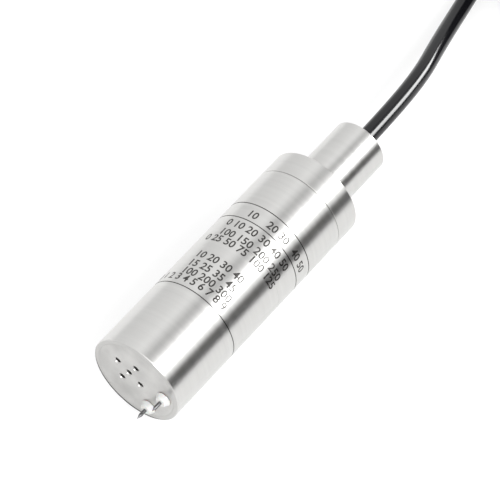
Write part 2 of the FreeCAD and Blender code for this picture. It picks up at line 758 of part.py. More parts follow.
def terminal_screws():
    floor = BOARD_TOP + TERMINAL_HEIGHT - SCREW_WELL_DEPTH
    radius = SCREW_WELL_RADIUS - FIT_GAP
    top = floor + SCREW_HEAD_HEIGHT
    screws = []
    for number in range(POLE_COUNT):
        x = screw_well_middle()
        y = pole_place(number)
        head = Part.makeCylinder(radius, SCREW_HEAD_HEIGHT, Vector(x, y, floor), UP)
        low = (x - radius, y - SCREW_SLOT_WIDTH / 2, top - SCREW_SLOT_DEPTH)
        slot = block(low, (x + radius, y + SCREW_SLOT_WIDTH / 2, top))
        screws.append(head.cut(slot))
    return Part.makeCompound(screws)


# Leads from the trim board and from the electrodes to the board
def signal_lead(number):
    shift = (number - (SIGNAL_COUNT - 1) / 2) * SIGNAL_PITCH
    port_y, port_z = roll_place(0.0, PORT_OFFSET)
    level = port_z - HEADER_PIN_CIRCLE - SIGNAL_GAP
    land = BOARD_START + LEAD_LANDING
    points = [
        (TRIM_BOARD_END, port_y + shift, level),
        (PLUG_LENGTH + LEAD_STRAIGHT, port_y + shift, level),
        (land, shift, BOARD_TOP + LEAD_LIFT),
        (land, shift, BOARD_TOP),
    ]
    return lead_along(points, LEAD_RADIUS)


def electrode_lead(side):
    """From a lug's tab to the face of the board that looks towards its electrode."""
    y, z = electrode_place(side)
    tab_y, tab_z = roll_place(y, z + LUG_RADIUS - LUG_THICKNESS / 2)
    above = tab_z > BOARD_TOP
    face = BOARD_TOP if above else -BOARD_DROP
    lift = LEAD_LIFT if above else -LEAD_LIFT
    land = BOARD_START + LEAD_LANDING
    land_y = tab_y + LEAD_SHIFT
    points = [
        (LUG_START + LUG_TAB_LENGTH, tab_y, tab_z),
        (PLUG_LENGTH + LEAD_STRAIGHT, tab_y, tab_z),
        (land, land_y, face + lift),
        (land, land_y, face),
    ]
    return lead_along(points, LEAD_RADIUS)


# Rear cap: spigot with two seal grooves, flange, neck and the stepped hole for the cable
def rear_cap():
    spigot = SEAT_RADIUS - FIT_GAP
    profile = [
        (SPIGOT_START, CAVITY_RADIUS),
        (SPIGOT_START, spigot - SEAM_CHAMFER),
        (SPIGOT_START + SEAM_CHAMFER, spigot),
    ]
    for place in CAP_SEAL_PLACES:
        left = SPIGOT_START + place
        right = left + CAP_SEAL_WIDTH
        floor = spigot - CAP_SEAL_DEPTH
        profile += [(left, spigot), (left, floor), (right, floor), (right, spigot)]
    profile += [
        (TUBE_LENGTH, spigot),
        (TUBE_LENGTH, BODY_RADIUS - SEAM_CHAMFER),
        (TUBE_LENGTH + SEAM_CHAMFER, BODY_RADIUS),
        (SHOULDER - CAP_EDGE, BODY_RADIUS),
        (SHOULDER, BODY_RADIUS - CAP_EDGE),
        (SHOULDER, NECK_RADIUS),
        (NECK_END - CAP_EDGE, NECK_RADIUS),
        (NECK_END, NECK_RADIUS - CAP_EDGE),
        (NECK_END, CABLE_BORE_RADIUS + EXIT_CHAMFER),
        (NECK_END - EXIT_CHAMFER, CABLE_BORE_RADIUS),
        (EXIT_WALL_START, CABLE_BORE_RADIUS),
        (EXIT_WALL_START, SEAL_BORE_RADIUS),
        (SCREW_BORE_END, SEAL_BORE_RADIUS),
        (SCREW_BORE_END, SCREW_BORE_RADIUS),
        (SHOULDER - CAVITY_FLOOR + CAVITY_CONE, SCREW_BORE_RADIUS),
        (SHOULDER - CAVITY_FLOOR, CAVITY_RADIUS),
    ]
    return turned(profile)


def cap_seal(place):
    inner = SEAT_RADIUS - FIT_GAP - CAP_SEAL_DEPTH
    return seal_ring(SPIGOT_START + place + CAP_SEAL_WIDTH / 2, inner, SEAT_RADIUS)


# What seals and holds the cable inside the neck
def cable_seal():
    return ring(SEAL_START, SEAL_END, SEAL_BORE_RADIUS - FIT_GAP, CABLE_RADIUS + FIT_GAP)


def seal_washer(start):
    end = start + SEAL_WASHER_THICKNESS
    return ring(start, end, SEAL_BORE_RADIUS - FIT_GAP, CABLE_BORE_RADIUS)


def gland_screw():
    nose_start = GLAND_SCREW_END - GLAND_SCREW_NOSE
    profile = [
        (GLAND_SCREW_START, CABLE_BORE_RADIUS),
        (GLAND_SCREW_START, SCREW_BORE_RADIUS - FIT_GAP),
        (nose_start, SCREW_BORE_RADIUS - FIT_GAP),
        (nose_start, SEAL_BORE_RADIUS - FIT_GAP),
        (GLAND_SCREW_END, SEAL_BORE_RADIUS - FIT_GAP),
        (GLAND_SCREW_END, CABLE_BORE_RADIUS),
    ]
    half = GLAND_SLOT_WIDTH / 2
    low = (GLAND_SCREW_START, -SCREW_BORE_RADIUS, -half)
    slot = block(low, (GLAND_SCREW_START + GLAND_SLOT_DEPTH, SCREW_BORE_RADIUS, half))
    return turned(profile).cut(slot)


def strain_ferrule():
    inner = CABLE_RADIUS + FIT_GAP
    return ring(FERRULE_START, GLAND_SCREW_START, inner + FERRULE_WALL, inner)


# Cores and vent tube between the cable's inner end and the board
def core_place(number):
    return polar(CORE_CIRCLE, CORE_ANGLES[number])


def inner_core(number):
    y, z = core_place(number)
    entry_z = BOARD_TOP + ENTRY_HEIGHT
    points = [
        (SHEATH_START, y, z),
        (SHEATH_START - CORE_STRAIGHT, y, z),
        (SPIGOT_START + CORE_LANDING, pole_place(number), entry_z),
        (TERMINAL_REAR - ENTRY_DEPTH + FIT_GAP, pole_place(number), entry_z),
    ]
    return lead_along(points, CORE_RADIUS)


def inner_vent_tube():
    low_bend, high_bend = VENT_BEND_PLACES
    points = [
        (SHEATH_START, 0, 0),
        (SPIGOT_START + low_bend, 0, 0),
        (SPIGOT_START + high_bend, 0, VENT_RISE),
        (VENT_CAP_START + VENT_CAP_WALL, 0, VENT_RISE),
    ]
    return lead_along(points, VENT_RADIUS)


def vent_filter_cap():
    centre = (0.0, VENT_RISE)
    cap = rod(VENT_CAP_START, VENT_CAP_START + VENT_CAP_LENGTH, VENT_CAP_RADIUS, centre)
    mouth = VENT_CAP_START + VENT_CAP_LENGTH
    return cap.cut(rod(VENT_CAP_START + VENT_CAP_WALL, mouth, VENT_RADIUS + FIT_GAP, centre))


# Cable: the stretch that runs from the neck to the coil
def coil_frame(angle):
    """The outward and the onward direction of a turn at an angle round the coil."""
    turn = math.radians(angle)
    outward = Vector(math.cos(turn), math.sin(turn), 0)
    onward = Vector(math.sin(turn), -math.cos(turn), 0)
    return outward, onward


def coil_entry():
    """Where the cable meets the coil's outside, and which way it then points."""
    outward, onward = coil_frame(ENTRY_ANGLE)
    touch = COIL_MIDDLE + outward * TURN_RADII[-1] + UP * FIRST_LAYER
    clear = COIL_OUTER + CABLE_RADIUS
    back = math.sqrt(clear ** 2 - TURN_RADII[-1] ** 2)
    return touch - onward * back, onward, back


def cable_points():
    entry, onward, _ = coil_entry()
    points = [
        Vector(NOSE_X + SHEATH_START, 0, BODY_RADIUS),
        Vector(NECK_END_X + EXIT_RUN, 0, BODY_RADIUS),
    ]
    points += [Vector(NECK_END_X + x, y, z) for x, y, z in CABLE_ROUTE]
    return points + [entry - onward * LAST_RUN, entry]


def cable_lead():
    solid, length, radii, share = tube_along(cable_points(), CABLE_RADIUS)
    print("cable lead: length", round(length, 1), "bend radii", [round(r) for r in radii])
    print("cable lead: volume over section times length", round(share, 4))
    return solid


# Coil: the outer shape of the turns, with the end of the stretch that enters it
def coil_outline(grow, ledge, step):
    """Corners (radius, height) of the coil's section, grown outwards by a gap."""
    corner = COIL_CORNER + grow * CORNER_GROWTH
    inner = COIL_INNER - grow
    outer = COIL_OUTER + grow
    base = COIL_BASE - grow
    top = COIL_TOP + grow
    return [
        (inner + corner, base),
        (outer - corner, base),
        (outer, base + corner),
        (outer, ledge + grow - corner),
        (step + grow - corner, top),
        (inner + corner, top),
        (inner, top - corner),
        (inner, base + corner),
    ]


def stepped_outline():
    """The same section where the top layer leaves its outer row out."""
    outline = coil_outline(0, COIL_LEDGE, COIL_STEP)
    edge = [(COIL_OUTER - COIL_CORNER, COIL_LEDGE), (COIL_STEP, COIL_LEDGE)]
    edge.append((COIL_STEP, COIL_TOP - COIL_CORNER))
    return outline[:4] + edge + outline[4:]


def swept_section(outline, first_angle, span):
    corners = [Vector(radius, 0, height) for radius, height in outline]
    face = Part.Face(Part.makePolygon(corners + corners[:1]))
    solid = face.revolve(Vector(), UP, span)
    solid.rotate(Vector(), UP, first_angle)
    solid.translate(COIL_MIDDLE)
    return solid


def cable_coil():
    full = swept_section(coil_outline(0, COIL_TOP, COIL_OUTER), END_ANGLE, LAST_QUARTER)
    rest = FULL_TURN - LAST_QUARTER
    stepped = swept_section(stepped_outline(), ENTRY_ANGLE, rest)
    entry, onward, back = coil_entry()
    stub = Part.makeCylinder(CABLE_RADIUS, back, entry, onward)
    return full.fuse(stepped).fuse(stub).removeSplitter()


def coil_tie(angle):
    in_full = END_ANGLE < angle < ENTRY_ANGLE
    ledge = COIL_TOP if in_full else COIL_LEDGE
    step = COIL_OUTER if in_full else COIL_STEP
    first = angle - TIE_SPAN / 2
    outer = swept_section(coil_outline(TIE_GAP + TIE_THICKNESS, ledge, step), first, TIE_SPAN)
    return outer.cut(swept_section(coil_outline(TIE_GAP, ledge, step), first, TIE_SPAN))


# Bare end of the cable, on the coil's ledge
def tail_point(along, sideways, height):
    """A place past the cable's end, measured along and across the outermost turn."""
    angle = END_ANGLE - math.degrees(along / TURN_RADII[-1])
    outward, _ = coil_frame(angle)
    return COIL_MIDDLE + outward * (TURN_RADII[-1] + sideways) + UP * height


def tail_points(offset, rise, fan, lie):
    """Points of a tail that leaves beside the cable's middle, opens out and lies down."""
    _, onward = coil_frame(END_ANGLE)
    start = tail_point(0, offset, LAST_LAYER + rise)
    opened, landed, ended = TAIL_PLACES
    return [
        start,
        start + onward * TAIL_STRAIGHT,
        tail_point(opened, offset * TAIL_OPENING, LAST_LAYER + rise * TAIL_OPENING),
        tail_point(landed, fan + TAIL_SHIFT, lie),
        tail_point(ended, fan + TAIL_SHIFT, lie),
    ]


def tail_core_points(number):
    offset, rise = core_place(number)
    fan = (number - (POLE_COUNT - 1) / 2) * TAIL_FAN
    return tail_points(offset, rise, fan, COIL_LEDGE + CORE_RADIUS + FIT_GAP)


def tail_vent_tube():
    lie = COIL_LEDGE + 2 * (CORE_RADIUS + FIT_GAP) + VENT_RADIUS
    return tube_along(tail_points(0, 0, 0, lie), VENT_RADIUS)[0]


def core_tips():
    tips = []
    for number in range(POLE_COUNT):
        before, last = tail_core_points(number)[-2:]
        ahead = (last - before).normalize()
        tips.append(Part.makeCylinder(CONDUCTOR_RADIUS, TIP_LENGTH, last, ahead))
    return Part.makeCompound(tips)


# Names of the pieces
def nose_pieces():
    """Pieces that turn with the nose."""
    pieces = {
        "nose_plug": nose_plug(),
        "capsule_body": capsule_body(),
        "capsule_diaphragm": capsule_diaphragm(),
        "capsule_weld_ring": capsule_weld_ring(),
        "capsule_header": capsule_header(),
        "header_glass": header_glass(),
        "header_pins": header_pins(),
        "reference_tube": reference_tube(),
        "ceramic_spacer": ceramic_spacer(),
        "pressure_chip": pressure_chip(),
        "capsule_seal": capsule_seal(),
        "capsule_retaining_ring": capsule_retaining_ring(),
        "trim_board": trim_board(),
    }
    places = [electrode_place(side) for side in ELECTRODE_SIDES]
    for number, place in enumerate(places, 1):
        pieces[f"electrode_bush_{number}"] = electrode_bush(place)
        pieces[f"electrode_pin_{number}"] = electrode_pin(place)
    fasteners = {
        "electrode_seals": electrode_seal,
        "electrode_washers": electrode_washer,
        "electrode_nuts": electrode_nut,
        "electrode_lugs": electrode_lug,
    }
    for name, maker in fasteners.items():
        pieces[name] = Part.makeCompound([maker(place) for place in places])
    return pieces


def body_pieces():
    """Pieces that are drawn as they lie."""
    pieces = {
        "housing_tube": housing_tube(),
        "insulating_sleeve": insulating_sleeve(),
        "front_board_carrier": board_carrier(SLEEVE_END, BOARD_START - FIT_GAP),
        "rear_board_carrier": board_carrier(REAR_CARRIER_START, REAR_CARRIER_START),
        "circuit_board": circuit_board(),
        "controller_chip": flat_chip(PARTS_START, 0.0, CONTROLLER_SIDE),
        "converter_chip": flat_chip(PARTS_START, BOARD_LANE, CONVERTER_SIDE),
        "board_capacitors": board_capacitors(),
        "surge_arresters": surge_arresters(),
        "board_resistors": board_resistors(),
        "terminal_block": terminal_block(),
        "terminal_screws": terminal_screws(),
        "signal_leads": Part.makeCompound([signal_lead(n) for n in range(SIGNAL_COUNT)]),
        "rear_cap": rear_cap(),
        "cable_seal": cable_seal(),
        "seal_washers": Part.makeCompound([seal_washer(GLAND_SCREW_END), seal_washer(SEAL_END)]),
        "cap_seals": Part.makeCompound([cap_seal(place) for place in CAP_SEAL_PLACES]),
        "gland_screw": gland_screw(),
        "strain_ferrule": strain_ferrule(),
        "inner_vent_tube": inner_vent_tube(),
        "vent_filter_cap": vent_filter_cap(),
    }
    for number, side in enumerate(ELECTRODE_SIDES, 1):
        pieces[f"electrode_lead_{number}"] = electrode_lead(side)
    for number, name in enumerate(CORE_NAMES):
        pieces[f"inner_core_{name}"] = inner_core(number)
    return pieces


def cable_pieces():
    """The cable outside the sensor, with its coil, ties and bare end."""
    pieces = {
        "cable_lead": cable_lead(),
        "cable_coil": cable_coil(),
        "tail_vent_tube": tail_vent_tube(),
        "core_tips": core_tips(),
        "coil_ties": Part.makeCompound([coil_tie(angle) for angle in TIE_ANGLES]),
    }
    for number, name in enumerate(CORE_NAMES):
        core = tube_along(tail_core_points(number), CORE_RADIUS)[0]
        pieces[f"tail_core_{name}"] = core
    return pieces


def all_pieces():
    pieces = {name: set_down(rolled(solid)) for name, solid in nose_pieces().items()}
    pieces.update({name: set_down(solid) for name, solid in body_pieces().items()})
    pieces.update(cable_pieces())
    return pieces


os.makedirs("parts", exist_ok=True)
for name, solid in all_pieces().items():
    solid.exportStep(f"parts/{name}.step")
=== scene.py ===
# %% [markdown]
# # The looks of a submersible level sensor
#
# The real object is a closed stainless steel tube that hangs on its cable in a tank or a
# well. Liquid enters five small holes in its nose, and two insulated electrodes stand beside
# them. Its exact solids arrive here as a fixed frame, in metres: X runs along the sensor
# towards its cable, Z is up, and the sensor lies on the floor at Z = 0. This lesson adds what
# the solids can't say: how each surface looks, the free cable as one smooth curve, the
# numbers burnt round the housing, and a small photo studio.

# %% Load the solids
import json
import math

import bmesh
import bpy
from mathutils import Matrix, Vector


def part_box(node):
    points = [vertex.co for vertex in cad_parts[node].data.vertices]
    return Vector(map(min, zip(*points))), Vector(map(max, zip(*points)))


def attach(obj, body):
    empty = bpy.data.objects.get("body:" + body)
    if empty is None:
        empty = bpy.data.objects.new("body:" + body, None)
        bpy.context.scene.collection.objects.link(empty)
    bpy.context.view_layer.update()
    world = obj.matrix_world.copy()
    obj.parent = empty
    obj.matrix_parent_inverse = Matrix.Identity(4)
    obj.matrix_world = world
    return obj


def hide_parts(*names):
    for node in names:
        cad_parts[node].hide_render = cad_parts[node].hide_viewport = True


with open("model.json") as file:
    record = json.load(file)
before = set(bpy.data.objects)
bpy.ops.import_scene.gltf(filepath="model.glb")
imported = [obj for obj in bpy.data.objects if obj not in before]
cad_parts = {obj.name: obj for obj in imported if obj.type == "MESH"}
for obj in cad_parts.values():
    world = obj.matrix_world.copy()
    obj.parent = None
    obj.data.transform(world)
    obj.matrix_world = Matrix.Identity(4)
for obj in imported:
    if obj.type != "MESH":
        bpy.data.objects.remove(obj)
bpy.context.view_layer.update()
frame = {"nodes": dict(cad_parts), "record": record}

nodes = frame["nodes"]
print("solids in the frame:", len(nodes))

# %% [markdown]
# ## Sizes
#
# Typing sizes a second time is how a scene drifts away from its model, so the places of the
# housing and the neck are read from the solids. Only the cable's own sizes are repeated: a
# curve is drawn from its middle line, which a solid doesn't store.

# %% Sizes of the housing and the cable
tube_low, tube_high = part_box("housing_tube")
cap_low, cap_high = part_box("rear_cap")
NOSE_X = tube_low.x
AXIS_HEIGHT = (tube_low.z + tube_high.z) / 2
BODY_RADIUS = (tube_high.z - tube_low.z) / 2
NECK_END_X = cap_high.x

CABLE_RADIUS = 0.00375
SHEATH_START = -0.0268
EXIT_RUN = 0.009
LAST_RUN = 0.025
COIL_CENTRE = (0.155, -0.020)
COIL_HEADING = math.radians(10)
TURN_RADII = (0.0315, 0.039, 0.0465)
COIL_SLACK = 0.00015
FIRST_LAYER = 0.00475
print("nose at", round(NOSE_X, 4), "neck ends at", round(NECK_END_X, 4))

# %% [markdown]
# ## Camera
#
# The sensor is seen from above and from its nose's side, with a long lens that keeps its
# edges nearly parallel. A camera could be aimed by eye, but the angles, the distance and the
# lens here were fitted to the object's outlines in one photograph, because every reflection
# on a round steel tube depends on them.

# %% Camera at the viewing angle
CAMERA_AZIMUTH = math.radians(-52.814)
CAMERA_ELEVATION = math.radians(52.740)
CAMERA_DISTANCE = 1.30559
CAMERA_LENS = 241.905
SENSOR_WIDTH = 36
NEAREST, FARTHEST = 0.01, 50
CAMERA_AIM = Vector((0.01524, 0.0, AXIS_HEIGHT))
AIM_RIGHT = -0.00739
AIM_UP = -0.00364


def place_camera():
    right = Vector((math.cos(CAMERA_AZIMUTH), math.sin(CAMERA_AZIMUTH), 0))
    level = Vector((-math.sin(CAMERA_AZIMUTH), math.cos(CAMERA_AZIMUTH), 0))
    sine = math.sin(CAMERA_ELEVATION)
    cosine = math.cos(CAMERA_ELEVATION)
    forward = level * cosine - Vector((0, 0, sine))
    up = level * sine + Vector((0, 0, cosine))
    data = bpy.data.cameras.new("camera")
    data.lens = CAMERA_LENS
    data.sensor_width = SENSOR_WIDTH
    data.clip_start = NEAREST
    data.clip_end = FARTHEST
    camera = bpy.data.objects.new("camera", data)
    aim = CAMERA_AIM + right * AIM_RIGHT + up * AIM_UP
    camera.location = aim - forward * CAMERA_DISTANCE
    camera.rotation_euler = (math.pi / 2 - CAMERA_ELEVATION, 0, CAMERA_AZIMUTH)
    bpy.context.scene.collection.objects.link(camera)
    bpy.context.scene.camera = camera
    return camera


camera = place_camera()
print("camera at", [round(value, 4) for value in camera.location])

# %% [markdown]
# ## Adding shader nodes
#
# Blender's materials are graphs of nodes. Placing each node with four lines of code hides
# what the graph does, so three small helpers add a node, add a sum, and place a node group.

# %% Helpers that add nodes
def add(tree, kind, **settings):
    """A new node, with its settings and its plain input values."""
    node = tree.nodes.new(kind)
    for name, value in settings.items():
        if name in node.inputs:
            node.inputs[name].default_value = value
        else:
            setattr(node, name, value)
    return node


def calc(tree, operation, *values):
    """A sum; each value is a number or what another node puts out."""
    node = add(tree, "ShaderNodeMath", operation=operation)
    for socket, value in zip(node.inputs, values):
        if isinstance(value, (int, float)):
            socket.default_value = value
        else:
            tree.links.new(value, socket)
    return node.outputs[0]


def put(tree, group, **values):
    """Places a shared group, with its own values."""
    node = add(tree, "ShaderNodeGroup", node_tree=group)
    for name, value in values.items():
        node.inputs[name.replace("_", " ")].default_value = value
    return node


print("node helpers:", add.__name__, calc.__name__, put.__name__)

# %% [markdown]
# A shared group is a small graph with its own named sockets. Built once, it can be placed in
# many materials, each with its own values, and one edit to it reaches them all.

# %% Helper that starts a shared group
def new_group(name, inputs, outputs):
    """An empty node group with named inputs and outputs."""
    group = bpy.data.node_groups.new(name, "ShaderNodeTree")
    for socket, value in inputs.items():
        kind = "NodeSocketColor" if isinstance(value, tuple) else "NodeSocketFloat"
        made = group.interface.new_socket(socket, in_out="INPUT", socket_type=kind)
        made.default_value = value
    for socket in outputs:
        kind = "NodeSocketColor" if socket == "Colour" else "NodeSocketFloat"
        group.interface.new_socket(socket, in_out="OUTPUT", socket_type=kind)
    return group, add(group, "NodeGroupInput"), add(group, "NodeGroupOutput")


print("group helper:", new_group.__name__)

# %% [markdown]
# ## Where a point is on the sensor
#
# A lathe works round one line. So the marks that it leaves depend only on how far a point is
# along the sensor and how far it is from the axis. A texture space for each piece would break
# the marks at every seam. One shared group gives both numbers instead, with the place across
# and the height over the axis, which tell one side of the round housing from another.

# %% Shared group: distance along the sensor, and from its axis
def sensor_place_group():
    values = {"Nose": NOSE_X, "Axis Height": AXIS_HEIGHT}
    outputs = ("Along", "Across", "Height", "Radius")
    group, given, output = new_group("sensor_place", values, outputs)
    place = add(group, "ShaderNodeTexCoord")
    split = add(group, "ShaderNodeSeparateXYZ")
    group.links.new(place.outputs["Object"], split.inputs[0])
    across = split.outputs["Y"]
    height = calc(group, "SUBTRACT", split.outputs["Z"], given.outputs["Axis Height"])
    squares = calc(group, "MULTIPLY_ADD", height, height, calc(group, "MULTIPLY", across, across))
    along = calc(group, "SUBTRACT", split.outputs["X"], given.outputs["Nose"])
    group.links.new(along, output.inputs["Along"])
    group.links.new(across, output.inputs["Across"])
    group.links.new(height, output.inputs["Height"])
    group.links.new(calc(group, "SQRT", squares), output.inputs["Radius"])
    return group


SENSOR_PLACE = sensor_place_group()
print("shared group:", SENSOR_PLACE.name)

# %% [markdown]
# ## Turned lines and even grain
#
# A turned surface is never plain: the tool leaves fine lines, some a little deeper or duller
# than others. Noise in one dimension, read along the sensor, gives lines that run all the
# way round. Moulded and sawn things have an even grain instead, so a second group uses noise
# in three dimensions. Each group puts out a height for relief and a slow tone, and each
# material sets how fine they are.

# %% Shared groups: turned lines, and even grain
def turned_lines_group():
    group, given, output = new_group(
        "turned_lines", {"Place": 0.0, "Fine": 9000.0, "Broad": 700.0}, ("Height", "Tone")
    )
    for scale, name, detail in (("Fine", "Height", 3.0), ("Broad", "Tone", 6.0)):
        scaled = calc(group, "MULTIPLY", given.outputs["Place"], given.outputs[scale])
        lines = add(group, "ShaderNodeTexNoise", noise_dimensions="1D", Scale=1.0, Detail=detail)
        group.links.new(scaled, lines.inputs["W"])
        group.links.new(lines.outputs[0], output.inputs[name])
    return group


def even_grain_group():
    group, given, output = new_group(
        "even_grain", {"Fine": 3500.0, "Broad": 180.0}, ("Height", "Tone")
    )
    place = add(group, "ShaderNodeTexCoord")
    for scale, name, detail in (("Fine", "Height", 4.0), ("Broad", "Tone", 5.0)):
        grain = add(group, "ShaderNodeTexNoise", Detail=detail)
        group.links.new(place.outputs["Object"], grain.inputs["Vector"])
        group.links.new(given.outputs[scale], grain.inputs["Scale"])
        group.links.new(grain.outputs[0], output.inputs[name])
    return group


TURNED_LINES = turned_lines_group()
EVEN_GRAIN = even_grain_group()
print("shared groups:", TURNED_LINES.name, EVEN_GRAIN.name)

# %% [markdown]
# ## Woven bands
#
# The coil is held by two nylon bands. Woven threads cross each other about every half
# millimetre, and a picture of a weave would need flat patches to lie on. Three sets of soft
# waves, along two diagonals and upwards, cross on every side of a band instead.

# %% Shared group: woven threads
THREAD_SPACING = 0.0006


def woven_threads_group():
    group, given, output = new_group(
        "woven_threads", {"Thread Spacing": THREAD_SPACING}, ("Height", "Tone")
    )
    place = add(group, "ShaderNodeTexCoord")
    split = add(group, "ShaderNodeSeparateXYZ")
    group.links.new(place.outputs["Object"], split.inputs[0])
    across, along = split.outputs["X"], split.outputs["Y"]
    turn = calc(group, "DIVIDE", 2 * math.pi, given.outputs["Thread Spacing"])

    def wave(distance):
        return calc(group, "SINE", calc(group, "MULTIPLY", distance, turn))

    rising = wave(calc(group, "ADD", across, along))
    falling = wave(calc(group, "SUBTRACT", across, along))
    diagonals = calc(group, "MULTIPLY", rising, falling)
    crossed = calc(group, "ADD", diagonals, wave(split.outputs["Z"]))
    height = calc(group, "MULTIPLY_ADD", crossed, 0.25, 0.5)
    for name in ("Height", "Tone"):
        group.links.new(height, output.inputs[name])
    return group


WOVEN_THREADS = woven_threads_group()
print("shared group:", WOVEN_THREADS.name)

# %% [markdown]
# ## Uneven colour and gloss
#
# One flat colour looks like plastic film. On real steel, rubber and paint both the colour and
# the gloss wander by a few percent. This group takes the tone from the groups above and lets
# it pull a colour and a roughness up and down by a share that each material chooses.

# %% Shared group: colour and roughness that wander
def uneven_finish_group():
    values = {"Colour": (0.8, 0.8, 0.8, 1.0), "Tone": 0.5, "Tone Share": 0.05}
    values.update({"Roughness": 0.4, "Roughness Share": 0.1})
    group, given, output = new_group("uneven_finish", values, ("Colour", "Roughness"))

    def pull(share):
        """One plus or minus the share, as the tone says."""
        double = calc(group, "MULTIPLY", share, 2.0)
        low = calc(group, "SUBTRACT", 1.0, share)
        return calc(group, "MULTIPLY_ADD", given.outputs["Tone"], double, low)

    scaled = add(group, "ShaderNodeVectorMath", operation="SCALE")
    group.links.new(given.outputs["Colour"], scaled.inputs[0])
    group.links.new(pull(given.outputs["Tone Share"]), scaled.inputs["Scale"])
    group.links.new(scaled.outputs[0], output.inputs["Colour"])
    pulled = pull(given.outputs["Roughness Share"])
    rough = calc(group, "MULTIPLY", given.outputs["Roughness"], pulled)
    group.links.new(rough, output.inputs["Roughness"])
    return group


UNEVEN_FINISH = uneven_finish_group()
print("shared group:", UNEVEN_FINISH.name)

# %% [markdown]
# ## One way to make every material
#
# `surface` joins the groups to Blender's Principled shader: a pattern gives tone and height,
# the tone makes colour and roughness wander, and the height becomes a faint relief. What is
# the same all over a piece, such as being metal, is set on the shader itself.

# %% Helpers that make a material
MICRON = 0.000001
BUMP_STRENGTH = 0.3


def turned(tree, fine=9000.0, broad=700.0):
    """Fine lines round the sensor, at places along it."""
    place = put(tree, SENSOR_PLACE, Nose=NOSE_X, Axis_Height=AXIS_HEIGHT)
    lines = put(tree, TURNED_LINES, Fine=fine, Broad=broad)
    tree.links.new(place.outputs["Along"], lines.inputs["Place"])
    return lines


def woven(tree):
    return put(tree, WOVEN_THREADS, Thread_Spacing=THREAD_SPACING)


def surface(name, colour, rough, pattern, relief, share=0.06, rough_share=0.15, **settings):
    material = bpy.data.materials.new(name)
    material.use_nodes = True
    tree = material.node_tree
    shader = tree.nodes["Principled BSDF"]
    for setting, value in settings.items():
        shader.inputs[setting.replace("_", " ")].default_value = value
    marks = pattern(tree)
    finish = put(tree, UNEVEN_FINISH, Colour=(*colour, 1), Tone_Share=share)
    finish.inputs["Roughness"].default_value = rough
    finish.inputs["Roughness Share"].default_value = rough_share
    tree.links.new(marks.outputs["Tone"], finish.inputs["Tone"])
    tree.links.new(finish.outputs["Colour"], shader.inputs["Base Color"])
    tree.links.new(finish.outputs["Roughness"], shader.inputs["Roughness"])
    bump = add(tree, "ShaderNodeBump", Strength=BUMP_STRENGTH, Distance=relief)
    tree.links.new(marks.outputs["Height"], bump.inputs["Height"])
    tree.links.new(bump.outputs[0], shader.inputs["Normal"])
    return material


def plain(name, colour, rough, relief=10 * MICRON, grain=(3500.0, 180.0), **settings):
    """A material with an even grain; the pair says how fine the relief and the tone are."""

    def grained(tree):
        return put(tree, EVEN_GRAIN, Fine=grain[0], Broad=grain[1])

    return surface(name, colour, rough, grained, relief, **settings)


print("material helpers:", surface.__name__, plain.__name__)

# %% [markdown]
# ## Satin turned steel
#
# The housing, the cap and the neck are stainless steel with a satin turned finish. Its lines
# run round the tube, so they smear a reflection along the tube and leave it crisp across:
# that is why the real one shows clean bright and dark streaks from nose to neck. Rendering
# every line as relief would only flicker, so the shader's anisotropy does it, with a tangent
# that runs round the axis.

# %% Satin steel of the housing
STEEL = (0.61, 0.605, 0.592)
SATIN_ROUGHNESS = 0.30
SATIN_STRETCH = 0.75
QUARTER_TURN = 0.25
SATIN_LINES = 420.0


def lathe_turned(tree):
    return turned(tree, broad=SATIN_LINES)


def satin_steel(name):
    material = surface(
        name, STEEL, SATIN_ROUGHNESS, lathe_turned, 4 * MICRON, share=0.07, rough_share=0.18,
        Metallic=1.0,
    )
    tree = material.node_tree
    shader = tree.nodes["Principled BSDF"]
    tangent = add(tree, "ShaderNodeTangent", direction_type="RADIAL", axis="X")
    tree.links.new(tangent.outputs[0], shader.inputs["Tangent"])
    shader.inputs["Anisotropic"].default_value = SATIN_STRETCH
    shader.inputs["Anisotropic Rotation"].default_value = QUARTER_TURN
    return material


print("satin steel reflects", STEEL)

# %% [markdown]
# Three shallow grooves run round the housing and frame its numbers. Their floors are burnt
# dark. The grooves are in the solid already, so the material only has to know where they
# are: it darkens by the distance along the sensor.

# %% Burnt floors of the marking lines
MARK_LINE_PLACES = (0.0345, 0.07405, 0.0822)
MARK_LINE_HALF = 0.0002
MARK_LINE_TONE = (0.07, 0.068, 0.065, 1)
SEAM_PLACE = (0.1018,)
SEAM_HALF = 0.00016
SEAM_TONE = (0.33, 0.325, 0.315, 1)


def line_mask(tree, along, places, half):
    """One where a line is, and zero elsewhere."""
    total = 0.0
    for place in places:
        near = calc(tree, "COMPARE", along, place, half)
        total = calc(tree, "MAXIMUM", total, near)
    return total


def tint(material, mask, tone):
    """Lays a tone over a material's colour where the mask is one."""
    tree = material.node_tree
    shader = tree.nodes["Principled BSDF"]
    mix = add(tree, "ShaderNodeMix", data_type="RGBA")
    tree.links.new(mask, mix.inputs[0])
    tree.links.new(shader.inputs["Base Color"].links[0].from_socket, mix.inputs[6])
    mix.inputs[7].default_value = tone
    tree.links.new(mix.outputs[2], shader.inputs["Base Color"])


def seamed_steel(name):
    """Satin steel with the thin seam between housing and cap."""
    material = satin_steel(name)
    tree = material.node_tree
    place = put(tree, SENSOR_PLACE, Nose=NOSE_X, Axis_Height=AXIS_HEIGHT)
    seam = line_mask(tree, place.outputs["Along"], SEAM_PLACE, SEAM_HALF)
    tint(material, seam, SEAM_TONE)
    return material, place


print("marking lines at", MARK_LINE_PLACES, "seam at", SEAM_PLACE)
